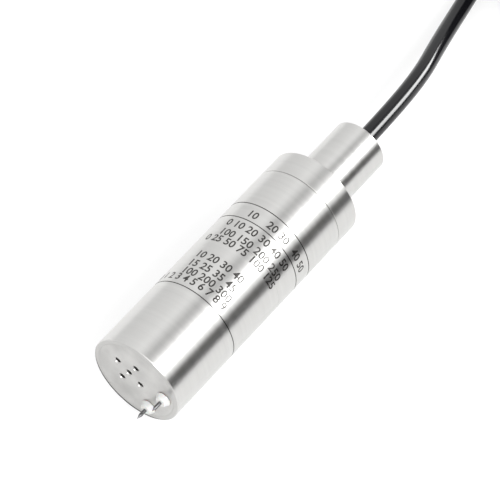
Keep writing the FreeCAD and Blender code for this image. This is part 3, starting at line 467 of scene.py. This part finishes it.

# %% [markdown]
# The housing's front end is faced flat. Its colour is darker than its side's: painted shade,
# standing in for the shaded floor that this face mirrors. The real housing also shows a thin
# dark line low on its edge, most likely the edge's chamfer mirroring something dark. No lamp
# or card here gives it, so it is a painted dark reflection, and it stays put when the light
# changes. Both are masks again: the first asks how far along a point is, the second how far
# from the axis. The second one's limit shrinks towards the dark side, so the line is a
# crescent, and it fades inwards.

# %% Housing: marks, seam, painted shade on the front and a painted dark rim reflection
# painted shade: the faced front end is coloured darker than the side's steel
FACE_SHADE_TONE = (0.505, 0.50, 0.488)
FACE_DEPTH = 0.00005
RIM_RADIUS = 0.01995
RIM_DEPTH = 0.00035
# colour of the painted dark reflection along the rim
RIM_REFLECTION_TONE = (0.015, 0.015, 0.015, 1)
DARK_RIM_WIDTH = 0.0015
DARK_RIM_FADE = 0.0006
DARK_SIDE_ACROSS, DARK_SIDE_HEIGHT = 0.418, -0.909


def painted_dark_rim_reflection(tree, place):
    """Painted dark reflection: a crescent along the front edge, widest on the dark side, that fades
    inwards.
    """
    front = calc(tree, "LESS_THAN", place.outputs["Along"], RIM_DEPTH)
    side = calc(tree, "MULTIPLY", place.outputs["Across"], DARK_SIDE_ACROSS / BODY_RADIUS)
    side = calc(tree, "MULTIPLY_ADD", place.outputs["Height"], DARK_SIDE_HEIGHT / BODY_RADIUS, side)
    limit = calc(tree, "MULTIPLY_ADD", side, -DARK_RIM_WIDTH, RIM_RADIUS)
    outer = calc(tree, "SUBTRACT", place.outputs["Radius"], limit)
    fade = calc(tree, "DIVIDE", outer, DARK_RIM_FADE)
    return calc(tree, "MULTIPLY", front, fade)


def marked_steel():
    material, place = seamed_steel("satin_steel_marked")
    tree = material.node_tree
    along = place.outputs["Along"]
    tint(material, line_mask(tree, along, MARK_LINE_PLACES, MARK_LINE_HALF), MARK_LINE_TONE)
    # painted shade on the faced front end
    tint(material, calc(tree, "LESS_THAN", along, FACE_DEPTH), (*FACE_SHADE_TONE, 1))
    # painted dark reflection: a dark crescent low on the front edge
    tint(material, painted_dark_rim_reflection(tree, place), RIM_REFLECTION_TONE)
    return material


housing_steel = marked_steel()
print("nodes in the housing's steel:", len(housing_steel.node_tree.nodes))

# %% [markdown]
# The nose's plug is faced and then cleaned, which leaves soft clouds instead of rings. The
# even grain does that, set broad and with a larger share.

# %% Clouded face of the nose
CLOUDS = (5000.0, 90.0)
# the nose's face takes the same painted shade as the housing's front end
nose_steel = plain(
    "faced_steel", FACE_SHADE_TONE, SATIN_ROUGHNESS, 2 * MICRON, CLOUDS, share=0.40, Metallic=1.0
)
print("nodes in the nose's steel:", len(nose_steel.node_tree.nodes))

# %% [markdown]
# ## Electrodes
#
# Each electrode is a slim pin, ground to a point, in a white bush. The bush is turned
# from a fluoropolymer: waxy, a little soft to the light, and never as bright as paper. The
# pins are steel. Polished steel as slim as this mirrors whatever dark things stand round it,
# and this pale tent has few, so the pins' colour is painted darker than steel: a painted
# dark reflection.

# %% Electrode pins and bushes
# painted dark reflection: the pins' colour is darker than steel
pin_steel = surface(
    "electrode_pin_metal", (0.20, 0.20, 0.205), 0.15, turned, MICRON, Metallic=1.0
)
bush_white = plain(
    "fluoropolymer", (0.58, 0.58, 0.57), 0.38, Subsurface_Weight=0.10, Subsurface_Scale=0.001
)
print("electrode materials:", pin_steel.name, bush_white.name)

# %% [markdown]
# ## Metal pieces
#
# One finish per slot of the record. Most inner pieces are hidden in the closed sensor, but a
# cutaway view shows them, so each has its own. The metals differ by colour and gloss alone:
# tinned lugs, gold-plated pins, a brass ferrule and drawn aluminium cans.

# %% Finishes of the metal pieces
METAL = {"Metallic": 1.0}


def metal_finishes():
    return {
        "stainless_satin": seamed_steel("satin_steel")[0],
        "stainless_plain": surface(
            "machined_steel", (0.58, 0.575, 0.56), 0.3, turned, 4 * MICRON, **METAL
        ),
        "tinned_metal": plain("tinned_metal", (0.72, 0.70, 0.66), 0.35, grain=(2600, 400), **METAL),
        "gold_plating": plain("gold_plating", (0.85, 0.62, 0.25), 0.25, grain=(6000, 900), **METAL),
        "brass_plain": plain("brass_plain", (0.70, 0.52, 0.24), 0.35, grain=(4500, 300), **METAL),
        "can_aluminium": plain(
            "can_aluminium", (0.78, 0.79, 0.80), 0.28, grain=(5000, 150), **METAL
        ),
    }


finishes = metal_finishes()
print("metal finishes:", len(finishes))

# %% [markdown]
# ## Everything else
#
# Green glass beads, fired ceramic, lacquered boards, moulded chips, acetal rings, rubber
# seals and the glossy cable sheath. Each has its own grain: a pair of numbers, the first for
# the fine relief and the second for the broad tone. The five cores differ by colour alone.

# %% Finishes of all the other pieces
CORE_COLOURS = {
    "white": (0.85, 0.85, 0.82),
    "yellow": (0.85, 0.68, 0.08),
    "black": (0.02, 0.02, 0.02),
    "blue": (0.05, 0.15, 0.55),
    "red": (0.60, 0.03, 0.03),
}


def other_finishes():
    return {
        "fluoropolymer_white": bush_white,
        "rubber_black": plain("seal_rubber", (0.025, 0.025, 0.025), 0.6, grain=(5200, 260)),
        "sealing_glass": plain(
            "sealing_glass", (0.20, 0.36, 0.27), 0.08, grain=(900, 1200), Transmission_Weight=0.5
        ),
        "ceramic_white": plain("ceramic", (0.86, 0.85, 0.80), 0.5, grain=(8000, 500)),
        "silicon_dark": plain(
            "silicon", (0.13, 0.14, 0.16), 0.12, grain=(9000, 700), Coat_Weight=0.5
        ),
        "board_green": plain(
            "board_lacquer", (0.02, 0.16, 0.06), 0.3, grain=(1600, 320), share=0.15
        ),
        "chip_black": plain("moulding_compound", (0.03, 0.03, 0.034), 0.55, grain=(7000, 350)),
        "terminal_green": plain("terminal_plastic", (0.05, 0.32, 0.12), 0.4, grain=(2400, 140)),
        "polymer_natural": plain("natural_acetal", (0.80, 0.77, 0.68), 0.42, grain=(3000, 120)),
        "sheath_black": plain(
            "cable_sheath", (0.004, 0.004, 0.005), 0.15, 3 * MICRON, Specular_IOR_Level=0.35
        ),
        "tie_black": surface(
            "woven_band", (0.014, 0.014, 0.015), 0.62, woven, 120 * MICRON, share=0.5
        ),
        "vent_clear": plain(
            "vent_tube", (0.80, 0.81, 0.80), 0.3, grain=(2000, 240), Transmission_Weight=0.3
        ),
        "lead_grey": plain("lead_insulation", (0.28, 0.28, 0.29), 0.4, grain=(4000, 220)),
    }


finishes |= other_finishes()
for name, colour in CORE_COLOURS.items():
    finishes[f"core_{name}"] = plain(f"core_{name}", colour, 0.38, grain=(4000, 260))
print("finishes:", len(finishes))

# %% [markdown]
# Each solid takes the finish that the record names for it. Three pieces show more than
# their slot's plain finish, so they get their own material afterwards.

# %% Dress every solid
def dress(piece, material):
    piece.data.materials.clear()
    piece.data.materials.append(material)


for part in frame["record"]["subparts"]:
    dress(nodes[part["node"]], finishes[part["material_slot"]])
dress(nodes["housing_tube"], housing_steel)
dress(nodes["nose_plug"], nose_steel)
for number in (1, 2):
    dress(nodes[f"electrode_pin_{number}"], pin_steel)
print("materials:", len(bpy.data.materials))

# %% [markdown]
# ## The cable's route
#
# A vented cable of this thickness is stiff: it leaves the neck straight, sinks slowly to the
# floor, and the rest is put away in a coil. Following it with many points gives dents like a
# bent wire, so only six listed points steer the free part. The last two are where
# it meets the coil's outer turn, so that it runs into the coil without a kink.

# %% Route of the free cable
SINKING_PLACES = ((0.045, 0.003, 0.0164), (0.069, 0.010, 0.0109))


def coil_entry():
    """Where the cable meets the coil's outside, and its direction there."""
    onward = Vector((math.cos(COIL_HEADING), math.sin(COIL_HEADING), 0))
    outward = Vector((-math.sin(COIL_HEADING), math.cos(COIL_HEADING), 0))
    middle = Vector((NECK_END_X + COIL_CENTRE[0], COIL_CENTRE[1], FIRST_LAYER))
    clear = TURN_RADII[-1] + 2 * CABLE_RADIUS + COIL_SLACK
    back = math.sqrt(clear**2 - TURN_RADII[-1] ** 2)
    return middle + outward * TURN_RADII[-1] - onward * back, onward, middle


def route_points():
    entry, onward, _ = coil_entry()
    straight = [(SHEATH_START, 0, AXIS_HEIGHT), (EXIT_RUN, 0, AXIS_HEIGHT)]
    neck_end = Vector((NECK_END_X, 0, 0))
    free = [neck_end + Vector(place) for place in (*straight, *SINKING_PLACES)]
    return free + [entry - onward * LAST_RUN, entry]


print("route points:", len(route_points()))

# %% [markdown]
# ## The coil
#
# Someone who winds a cable by hand lays turns side by side, then climbs onto them and comes
# back. A helix with one radius can't do that. So every turn keeps its radius for three
# quarters, moves to the next radius in an eighth of a turn, and climbs to the next layer in
# the last eighth. A smooth curve cuts inside its points, and `grow` pushes them out again.

# %% Points of the coil's turns
STEPS = 16
ENTRY_ANGLE = math.pi / 2 + COIL_HEADING
TURNS = 11.25
SHIFT_FROM, SHIFT_TO = 0.75, 0.875


def turn_places():
    """The (radius, layer) of each turn: in, out, in, and out again."""
    rows = (TURN_RADII[::-1], TURN_RADII) * 2
    return [(radius, layer) for layer, row in enumerate(rows) for radius in row]


def ramp(value, low, high):
    return min(1, max(0, (value - low) / (high - low)))


def coil_points():
    _, _, middle = coil_entry()
    places = turn_places()
    grow = 1 / math.cos(math.pi / STEPS)
    points = []
    last = round(TURNS * STEPS)
    for step in range(1, last + 1):
        turn = min(step // STEPS, len(places) - 1)
        part = step / STEPS - turn
        radius, layer = places[turn]
        after_radius, after_layer = places[min(turn + 1, len(places) - 1)]
        radius += (after_radius - radius) * ramp(part, SHIFT_FROM, SHIFT_TO)
        layer += (after_layer - layer) * ramp(part, SHIFT_TO, 1)
        if step < last:
            radius *= grow
        angle = ENTRY_ANGLE - step * 2 * math.pi / STEPS
        height = 2 * CABLE_RADIUS * layer
        points.append(middle + Vector((radius * math.cos(angle), radius * math.sin(angle), height)))
    return points


print("coil points:", len(coil_points()))

# %% [markdown]
# ## One curve for the whole cable
#
# The solids draw the cable as a tube and its coil as one block. A curve with a round bevel
# replaces both: a NURBS spline of order three bends evenly between its points, as a stiff
# cable does. Its order and its end points are set after the points are added, because before
# that Blender can't keep them.

# %% Cable as one smooth curve
def smooth_curve(name, points, radius, material):
    """A round tube along a smooth curve that the points steer."""
    data = bpy.data.curves.new(name, "CURVE")
    data.dimensions = "3D"
    data.bevel_depth = radius
    data.bevel_resolution = 8
    data.resolution_u = 6
    data.use_fill_caps = True
    spline = data.splines.new("NURBS")
    spline.points.add(len(points) - 1)
    for corner, point in zip(spline.points, points):
        corner.co = (*point, 1)
    spline.order_u = 3
    spline.use_endpoint_u = True
    data.materials.append(material)
    curve = bpy.data.objects.new(name, data)
    bpy.context.scene.collection.objects.link(curve)
    return curve


cable_points = route_points() + coil_points()
cable = smooth_curve("cable", cable_points, CABLE_RADIUS, finishes["sheath_black"])
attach(cable, "root")
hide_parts("cable_lead", "cable_coil")
print("cable points:", len(cable_points))

# %% [markdown]
# These pieces sit on the cable. Its far end is bare, as such a sensor is sold: five cores and
# the air tube stand out of the sheath, and they stay as the solids draw them. The photograph
# shows only the cable's start, so its length and that end are what is usual, not what was seen.

# %% Pieces that sit on the cable
ON_CABLE = ["coil_ties", "core_tips", "tail_vent_tube"]
ON_CABLE += [f"tail_core_{name}" for name in CORE_COLOURS]
print("pieces on the cable:", len(ON_CABLE))

# %% [markdown]
# ## Numbers round the housing
#
# Text stands between the grooves, most likely burnt by a laser. Here it is rows of plain
# round numbers that mean nothing. Painting them by a texture would need an image, so real
# letters are used: Blender's own font, a little bolder, drawn flat and a hair thick.

# %% Rows of plain numbers: distance from the nose, first angle, text
NUMBER_ROWS = (
    (0.0776, -16.6, "10"),
    (0.0776, 10.6, "20 30"),
    (0.0776, 51.6, "40 50"),
    (0.0707, -31.4, "0 10 20 30 40 50"),
    (0.0654, -29.2, "100 150 200 250"),
    (0.0613, -41.6, "0 25 50 75 100 125"),
    (0.0516, -31.7, "10 20 30 40"),
    (0.0466, -30.9, "15 25 35 45"),
    (0.0421, -29.9, "100 200 300"),
    (0.0383, -62.0, "0 1 2 3 4 5 6 7 8 9"),
)
DIGIT_SIZE = 0.0048
DIGIT_BOLDNESS = 0.00008
DIGIT_DEPTH = 0.00004
DIGIT_MIDDLE = 0.36


def flat_row(body):
    """The outlines of a row as a thin flat mesh."""
    data = bpy.data.curves.new("row", "FONT")
    data.body = body
    data.size = DIGIT_SIZE
    data.offset = DIGIT_BOLDNESS
    data.extrude = DIGIT_DEPTH / 2
    data.resolution_u = 3
    text = bpy.data.objects.new("row", data)
    mesh = bpy.data.meshes.new_from_object(text)
    bpy.data.objects.remove(text)
    bpy.data.curves.remove(data)
    return mesh


print("rows to burn:", len(NUMBER_ROWS))

# %% [markdown]
# A flat letter has long straight edges, which would cut through a round housing. So each row
# is first cut into strips half a millimetre wide, and then every corner is moved onto the
# housing: its distance along the row becomes an angle. The tops of the numbers point towards
# the cable.

# %% Wrap the rows round the housing
STRIP = 0.0005


def cut_into_strips(mesh):
    shape = bmesh.new()
    shape.from_mesh(mesh)
    bmesh.ops.remove_doubles(shape, verts=shape.verts, dist=1e-7)
    width = max(vertex.co.x for vertex in shape.verts)
    for number in range(1, int(width / STRIP) + 1):
        everything = shape.verts[:] + shape.edges[:] + shape.faces[:]
        place = (number * STRIP, 0, 0)
        bmesh.ops.bisect_plane(shape, geom=everything, plane_co=place, plane_no=(1, 0, 0))
    return shape


def wrapped_row(number, along, start, body, material):
    mesh = flat_row(body)
    shape = cut_into_strips(mesh)
    base = NOSE_X + along - DIGIT_SIZE * DIGIT_MIDDLE
    for vertex in shape.verts:
        angle = math.radians(start) + vertex.co.x / BODY_RADIUS
        radius = BODY_RADIUS + vertex.co.z
        across = -radius * math.sin(angle)
        height = AXIS_HEIGHT + radius * math.cos(angle)
        vertex.co = (base + vertex.co.y, across, height)
    shape.to_mesh(mesh)
    shape.free()
    mesh.materials.append(material)
    row = bpy.data.objects.new(f"number_row_{number}", mesh)
    bpy.context.scene.collection.objects.link(row)
    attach(row, "root")
    return row


marking = surface(
    "burnt_marking", (0.075, 0.073, 0.07), 0.28, turned, 4 * MICRON, share=0.3, Metallic=1.0
)
rows = [wrapped_row(number + 1, *row, marking) for number, row in enumerate(NUMBER_ROWS)]
print("number rows:", len(rows), "faces:", sum(len(row.data.polygons) for row in rows))

# %% [markdown]
# ## Floor
#
# The photograph's ground is pure white, with no shadow. Such pictures are taken on a light
# table of white acrylic lit from below, or cut out afterwards. A white surface that also
# glows leaves hardly a shadow, and shines back into the steel from underneath.

# %% Glowing white floor
FLOOR_HALF = 6.0
FLOOR_WHITE = (0.30, 0.30, 0.30)
FLOOR_GLOW = 0.70


def flat_piece(name, corners, material):
    mesh = bpy.data.meshes.new(name)
    mesh.from_pydata(corners, [], [tuple(range(len(corners)))])
    mesh.materials.append(material)
    piece = bpy.data.objects.new(name, mesh)
    bpy.context.scene.collection.objects.link(piece)
    return piece


def make_floor():
    material = plain(
        "floor_acrylic", FLOOR_WHITE, rough=0.9, relief=0.0, share=0.01,
        Specular_IOR_Level=0.0, Emission_Strength=FLOOR_GLOW,
    )
    far = FLOOR_HALF
    corners = [(-far, -far, 0), (far, -far, 0), (far, far, 0), (-far, far, 0)]
    return flat_piece("floor", corners, material)


floor = make_floor()
print(floor.name, "of", 2 * FLOOR_HALF, "m")

# %% [markdown]
# ## What the steel reflects
#
# Satin steel has no look of its own: it shows the room. Lamps could stand all round it, but
# a long tube mirrors only one thing of the room: how bright it is at each angle round the
# tube. So the room is one short table, read by the world's shader. It is a pale tent, a bit
# dimmer straight above, with a long strip light over the -Y side. Its twelve levels were
# tuned until the streaks across the steel looked as they do in the photograph, so
# they say how that picture was lit, not how the steel is made.

# %% Pale tent with a strip light
TENT_COLOUR = (0.995, 0.998, 1.0, 1)
BRIGHTEST = 8.0
TENT_LIGHT = (
    (-90, 0.90),
    (-60, 1.00),
    (-30, 1.10),
    (-15, 1.25),
    (-3, 1.00),
    (7, 0.62),
    (18, 0.80),
    (32, 1.40),
    (39, 7.00),
    (53, 7.00),
    (59, 1.20),
    (90, 1.00),
)


def angle_round_tube(tree):
    """From zero at the horizon of +Y, over the top, to one at that of -Y."""
    place = add(tree, "ShaderNodeTexCoord")
    split = add(tree, "ShaderNodeSeparateXYZ")
    tree.links.new(place.outputs["Generated"], split.inputs[0])
    side = calc(tree, "MULTIPLY", split.outputs["Y"], -1.0)
    angle = calc(tree, "ARCTAN2", side, split.outputs["Z"])
    return calc(tree, "MULTIPLY_ADD", angle, 1 / math.pi, 0.5)


def make_tent():
    world = bpy.data.worlds.new("tent")
    bpy.context.scene.world = world
    world.use_nodes = True
    tree = world.node_tree
    shade = tree.nodes["Background"]
    shade.inputs["Color"].default_value = TENT_COLOUR
    ramp_node = add(tree, "ShaderNodeValToRGB")
    stops = ramp_node.color_ramp.elements
    while len(stops) < len(TENT_LIGHT):
        stops.new(0.5)
    for stop, (angle, light) in zip(stops, TENT_LIGHT):
        stop.position = (angle + 90) / 180
        share = light / BRIGHTEST
        stop.color = (share, share, share, 1)
    tree.links.new(angle_round_tube(tree), ramp_node.inputs[0])
    strength = calc(tree, "MULTIPLY", ramp_node.outputs[0], BRIGHTEST)
    tree.links.new(strength, shade.inputs["Strength"])
    return world


world = make_tent()
print(world.name, "table:", len(TENT_LIGHT), "angles")

# %% [markdown]
# ## A lamp for the nose
#
# Edges that face the nose's side need something bright to mirror: a lamp in front of the
# nose makes the rim and the mouths of the inlets glint. It is seen in reflections only,
# since the tent's light swamps it elsewhere.

# %% Lamp in front of the nose
NOSE_LAMP_PLACE = (-1.21, -0.26, 0.59)
NOSE_LAMP_AIM = (-0.068, 0.0, 0.020)
NOSE_LAMP_SIZE = (0.9, 0.9)
NOSE_LAMP_POWER = 1.8


def make_lamp(name, place, aim, power, shape, size):
    data = bpy.data.lights.new(name, "AREA")
    data.shape = shape
    data.size, data.size_y = size
    data.energy = power
    lamp = bpy.data.objects.new(name, data)
    lamp.location = place
    lamp.rotation_euler = (Vector(aim) - Vector(place)).to_track_quat("-Z", "Y").to_euler()
    lamp.visible_diffuse = False
    bpy.context.scene.collection.objects.link(lamp)
    return lamp


nose_lamp = make_lamp(
    "nose_lamp", NOSE_LAMP_PLACE, NOSE_LAMP_AIM, NOSE_LAMP_POWER, "DISK", NOSE_LAMP_SIZE
)
print(nose_lamp.name, "at", NOSE_LAMP_PLACE)

# %% [markdown]
# ## A lamp for the cable
#
# Black cable mirrors only a few percent, so its long highlight needs a far stronger light
# than steel does. One lamp for both would burn the steel out. Light linking gives the cable
# a lamp of its own, which no real studio can do. Its place and roll were tuned so that the
# highlight follows the cable's bend in the photograph's view; other views show it elsewhere.

# %% Lamp for the cable alone
CABLE_LAMP_PLACE = (1.360, -0.874, 0.374)
CABLE_LAMP_AIM = (0.115, 0.003, 0.017)
CABLE_LAMP_ROLL = -40.5
CABLE_LAMP_SIZE = (1.6, 1.35)
CABLE_LAMP_POWER = 112.0


def make_cable_lamp():
    lamp = make_lamp(
        "cable_lamp", CABLE_LAMP_PLACE, CABLE_LAMP_AIM, CABLE_LAMP_POWER, "RECTANGLE",
        CABLE_LAMP_SIZE,
    )
    lamp.rotation_euler.rotate_axis("Z", math.radians(CABLE_LAMP_ROLL))
    lit = bpy.data.collections.new("lit_by_cable_lamp")
    lit.objects.link(cable)
    lamp.light_linking.receiver_collection = lit
    return lamp


cable_lamp = make_cable_lamp()
print(cable_lamp.name, "at", CABLE_LAMP_PLACE)

# %% [markdown]
# ## A dark card
#
# The dark streak low on the steel must be something dark that it mirrors. Photographers often
# stand a black card beside a pale round object to give it an edge, so one stands here, as a
# guess. Only reflections see it, so it casts no shadow and shows in no view.

# %% Dark card low beside the sensor
CARD_Y = -0.16
CARD_HEIGHT = 0.078
CARD_LOW = 0.0005
CARD_FROM, CARD_TO = -0.25, 0.65


def make_card():
    material = plain("dark_card", (0.03, 0.03, 0.03), rough=0.9)
    corners = [(CARD_FROM, CARD_Y, CARD_LOW), (CARD_TO, CARD_Y, CARD_LOW)]
    corners += [(CARD_TO, CARD_Y, CARD_HEIGHT), (CARD_FROM, CARD_Y, CARD_HEIGHT)]
    card = flat_piece("dark_card", corners, material)
    card.visible_camera = False
    card.visible_diffuse = False
    card.visible_shadow = False
    return card


card = make_card()
bpy.context.scene.view_settings.view_transform = "Standard"
print(card.name, CARD_HEIGHT, "m high")
